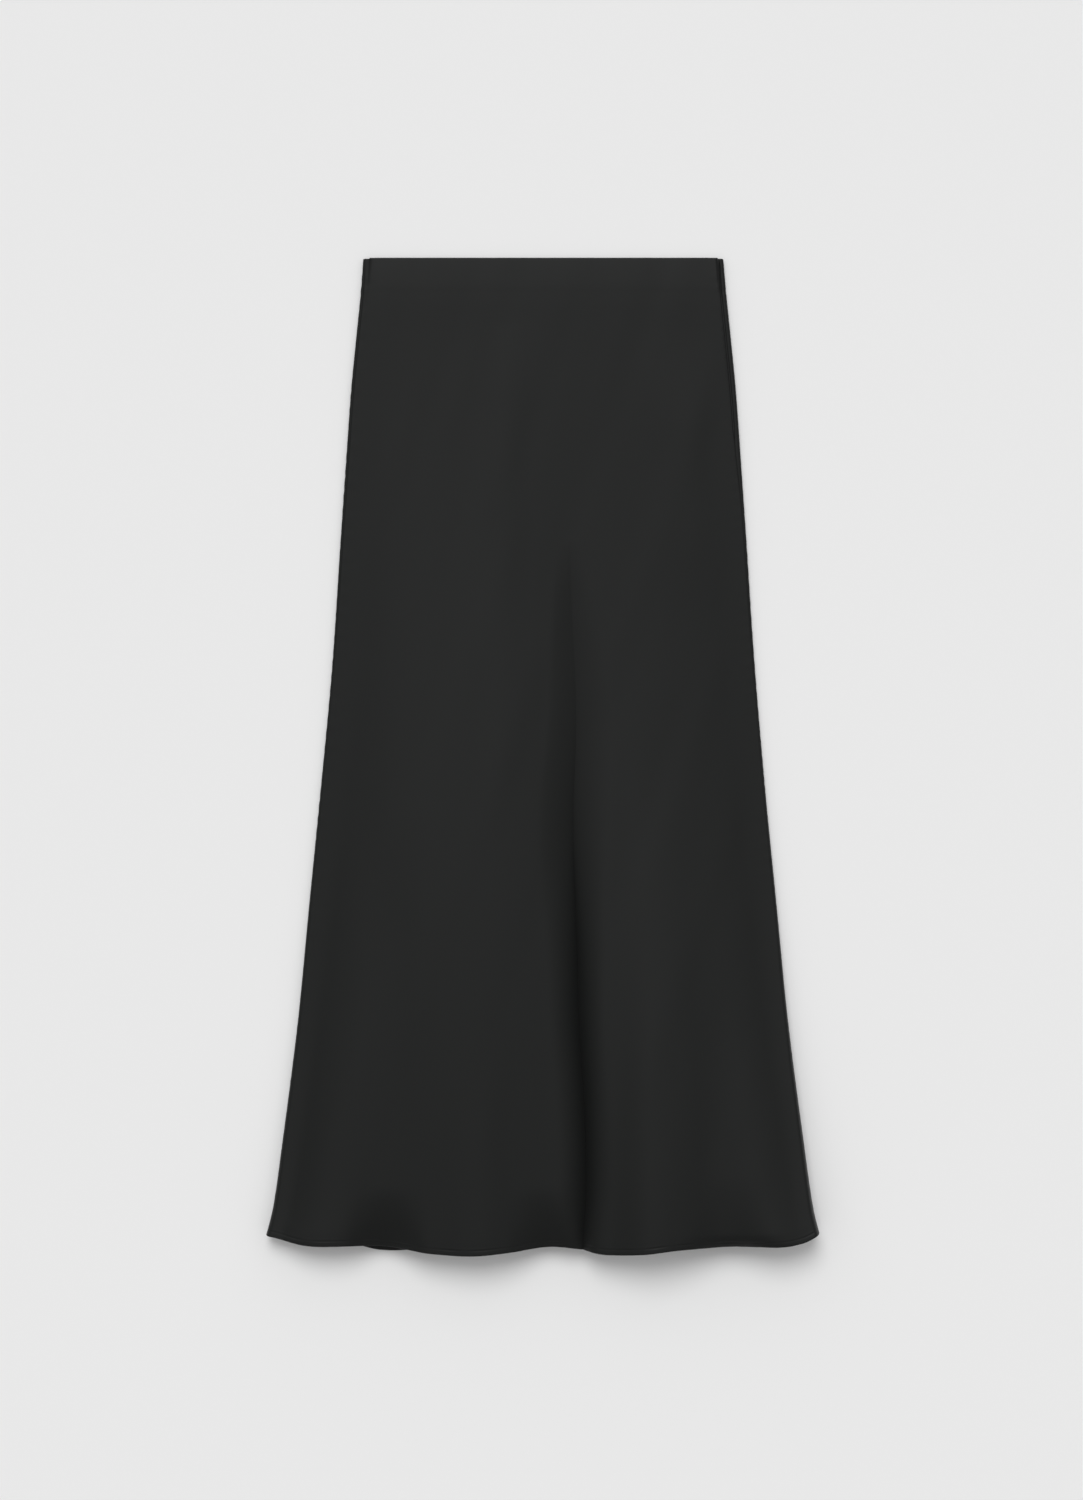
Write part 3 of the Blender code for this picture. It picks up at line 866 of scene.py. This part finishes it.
def seamPoint(side, down, inset):
    # a place inside the side seam, with the directions down the seam, over the edge and out
    step = 0.0004           # between the places that give the directions
    downs = down + step * np.array([-1, 0, 1])
    along = seamAlong(side, downs)[:, None] - side * step * np.array([-1, 0, 1])[None]
    spots = rolled(side, np.repeat(downs[:, None], 3, 1), along)
    out = outwards(spots)[1, 1]
    towards = spots[2, 1] - spots[0, 1]
    towards = towards / np.linalg.norm(towards)
    return spots[1, 1] - out * inset, towards, np.cross(out, towards), out


def framed(spot, towards, across, out, size):
    # the matrix that puts a unit shape at a place, turned and scaled
    turn = Matrix([across, towards, out]).transposed().to_4x4()
    return Matrix.Translation(Vector(spot)) @ turn @ Matrix.Diagonal((*size, 1))


def smallParts(name, matrices, paint, makeShape, smoothed):
    # many equal small shapes in one piece
    mesh = bmesh.new()
    for matrix in matrices:
        makeShape(mesh, matrix)
    bmesh.ops.recalc_face_normals(mesh, faces=mesh.faces[:])
    for face in mesh.faces:
        face.smooth = smoothed
    made = bpy.data.meshes.new(name)
    mesh.to_mesh(made)
    mesh.free()
    made.materials.append(paint.material)
    piece = bpy.data.objects.new(name, made)
    scene.collection.objects.link(piece)
    return piece


def bevelledBox(mesh, matrix):
    verts = bmesh.ops.create_cube(mesh, size=1.0)["verts"]
    sides = list({edge for vert in verts for edge in vert.link_edges})
    settings = {"segments": 1, "affect": "EDGES", "profile": 0.5, "material": -1}
    made = bmesh.ops.bevel(mesh, geom=sides, offset=zipParts["bevel"], **settings)
    corners = {vert for face in made["faces"] for vert in face.verts}
    bmesh.ops.transform(mesh, matrix=matrix, verts=list(corners))


def stitchShape(mesh, matrix):
    verts = bmesh.ops.create_icosphere(mesh, subdivisions=1, radius=0.5)["verts"]
    bmesh.ops.transform(mesh, matrix=matrix, verts=verts)


thread = {
    "name": "charcoalThread",
    "colours": ((0.0120, 0.01264, 0.0124, 1), (0.0150, 0.0158, 0.0155, 1)),
    "roughness": 0.55,
    "twist": 2600.0,
}
zipTooth = {
    "name": "zipTeeth",
    "colours": ((0.0080, 0.00832, 0.00816, 1), (0.0100, 0.0104, 0.0102, 1)),
    "roughness": 0.36,
    "twist": 2600.0,
}
zipTape = {
    "name": "zipTape",
    "colours": ((0.0060, 0.0064, 0.0062, 1), (0.0085, 0.0090, 0.0088, 1)),
    "roughness": 0.62,
    "ribs": 330.0,
    "grain": 1500.0,
    "relief": 0.0001,
}


def makeThread(finish):
    paint = Paint(finish["name"])
    twist = paint.cloud(paint.node("ShaderNodeTexCoord", out=3), finish["twist"])
    paint.set(
        Base_Color=paint.blendColour(twist, *finish["colours"]),
        Roughness=finish["roughness"] + (twist - 0.5) * 0.1,
        Specular_IOR_Level=0.2,
    )
    return paint


def makeTape(finish):
    # ribbed narrow cloth, woven across its length
    paint = Paint(finish["name"])
    cloth = paint.node("ShaderNodeUVMap", {"uv_map": "cloth"})
    ribbed = {"Scale": finish["ribs"], "Distortion": 0.6, "Detail": 1.0}
    rib = paint.node("ShaderNodeTexWave", {"bands_direction": "Y"}, Vector=cloth, **ribbed)
    grain = paint.cloud(cloth, finish["grain"])
    paint.set(
        Base_Color=paint.blendColour(rib * 0.6 + grain * 0.4, *finish["colours"]),
        Roughness=finish["roughness"] + (grain - 0.5) * 0.12,
        Specular_IOR_Level=0.2,
    )
    paint.raised(rib * 0.7 + grain * 0.3, finish["relief"])
    return paint


threadPaint, tapePaint, toothPaint = makeThread(thread), makeTape(zipTape), makeThread(zipTooth)


def seamRows(start, end):
    return np.linspace(start, end, round((end - start) / allowance["rows"]) + 1)


sheets = []
for side, word, start in ((-1, "left", allowance["start"]), (1, "right", allowance["zipped"])):
    end = hemDown(side * outline["halfWidth"][-1]) - allowance["end"]
    strip, points = insideStrip(
        word + "SeamAllowance", side, seamRows(start, float(end)), allowance,
        (reversePaint, reversePaint), allowance["ripple"], allowance["over"], allowance["wide"],
    )
    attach(strip, "root")
    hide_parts("side_seam_" + word)
    free, inner = (-1, -2) if side < 0 else (0, 1)
    facing, inner, free = outwards(points)[:, free], points[:, inner], points[:, free]
    run = runAlong(free, 0)
    matrices = []
    for distance in np.arange(overlock["start"], run[-1] - overlock["start"], overlock["pitch"]):
        edge, beside, out = (placeAlong(distance, run, line) for line in (free, inner, facing))
        out = out / np.linalg.norm(out)
        edgeward = (edge - beside) / np.linalg.norm(edge - beside)
        spot = edge - edgeward * overlock["inwards"] - out * allowance["thickness"] / 2
        size = (*overlock["size"], allowance["thickness"] + overlock["proud"])
        matrices.append(framed(spot, np.cross(out, edgeward), edgeward, out, size))
    threads = smallParts(word + "Overlock", matrices, threadPaint, stitchShape, True)
    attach(threads, "root")
    sheets.append((strip, points, [threads], backPiece))

tape, tapePoints = insideStrip(
    "zipTape", 1, seamRows(zipParts["start"], zipParts["end"]), zipParts,
    (tapePaint, tapePaint), 0, *zipParts["tape"],
)
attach(tape, "root")
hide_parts("side_zip")


def toothAt(down, size, aside=0):
    inset = float(insetAt(down, zipParts["inset"])) + zipParts["thickness"] / 2
    spot, towards, across, out = seamPoint(1, float(down), inset)
    return framed(spot + across * aside, towards, across, out, size)


stop, clear = zipParts["end"] - zipParts["stopAbove"], zipParts["clear"]
downs = np.arange(zipParts["start"] + clear, stop - clear, zipParts["pitch"])
teeth = [toothAt(down, zipParts["tooth"], zipParts["zigzag"] * (-1) ** k) for k, down in enumerate(downs)]
teeth.append(toothAt(stop, zipParts["stop"]))
toothRow = smallParts("zipTeeth", teeth, toothPaint, bevelledBox, False)
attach(toothRow, "root")
sheets.append((tape, tapePoints, [toothRow], backPiece))
print("seam allowances and zip")

# the hems' stitches
stitches = {
    "start": 0.003,         # from the seams
    "pitch": 0.0030,
    "size": (0.0023, 0.00034, 0.00030),     # along, across and through
    "sunk": 0.00014,
    "skipped": 4,           # columns beside the seams
}


def hemStitches(name, points):
    # one stitch after another along the hem, a little above its edge
    out = outwards(points)[::-1]
    points = points[::-1]
    above = runAlong(points, 0) + turned["fold"]
    columns = range(stitches["skipped"], points.shape[1] - stitches["skipped"])
    line = np.array([placeAlong(turned["stitch"], above[:, k], points[:, k]) for k in columns])
    facing = np.array([placeAlong(turned["stitch"], above[:, k], out[:, k]) for k in columns])
    run = runAlong(line, 0)
    matrices = []
    for distance in np.arange(stitches["start"], run[-1] - stitches["start"], stitches["pitch"]):
        before, spot, after = (placeAlong(distance + off, run, line) for off in (-0.001, 0, 0.001))
        across = (after - before) / np.linalg.norm(after - before)
        up = placeAlong(distance, run, facing)
        up = up - across * np.dot(up, across)
        up = up / np.linalg.norm(up)
        spot = spot - up * stitches["sunk"]
        matrices.append(framed(spot, np.cross(up, across), across, up, stitches["size"]))
    made = smallParts(name, matrices, threadPaint, stitchShape, True)
    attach(made, "root")
    return made


frontStitches = hemStitches("frontHemStitches", frontPoints)
backStitches = hemStitches("backHemStitches", backPoints)
sheets.append((frontPiece, frontWhole, [frontStitches], backPiece))
sheets.append((backPiece, backWhole, [backStitches], floor))
print("hem stitches")


def cutSize(points):
    # the flat width, length and area of a sheet from its rows of points
    wide = np.linalg.norm(np.diff(points, axis=1), axis=2).sum(axis=1).max()
    long = np.linalg.norm(np.diff(points, axis=0), axis=2).sum(axis=0).max()
    side, end = np.diff(points, axis=1)[:-1], np.diff(points, axis=0)[:, :-1]
    area = np.linalg.norm(np.cross(side, end), axis=2).sum()
    return float(wide), float(long), float(area)


for piece, points, riders, under in sheets:
    wide, long, area = cutSize(points)
    area = min(area, wide * long)
    print("sheet", piece.name, round(wide, 4), round(long, 4), round(area, 4))
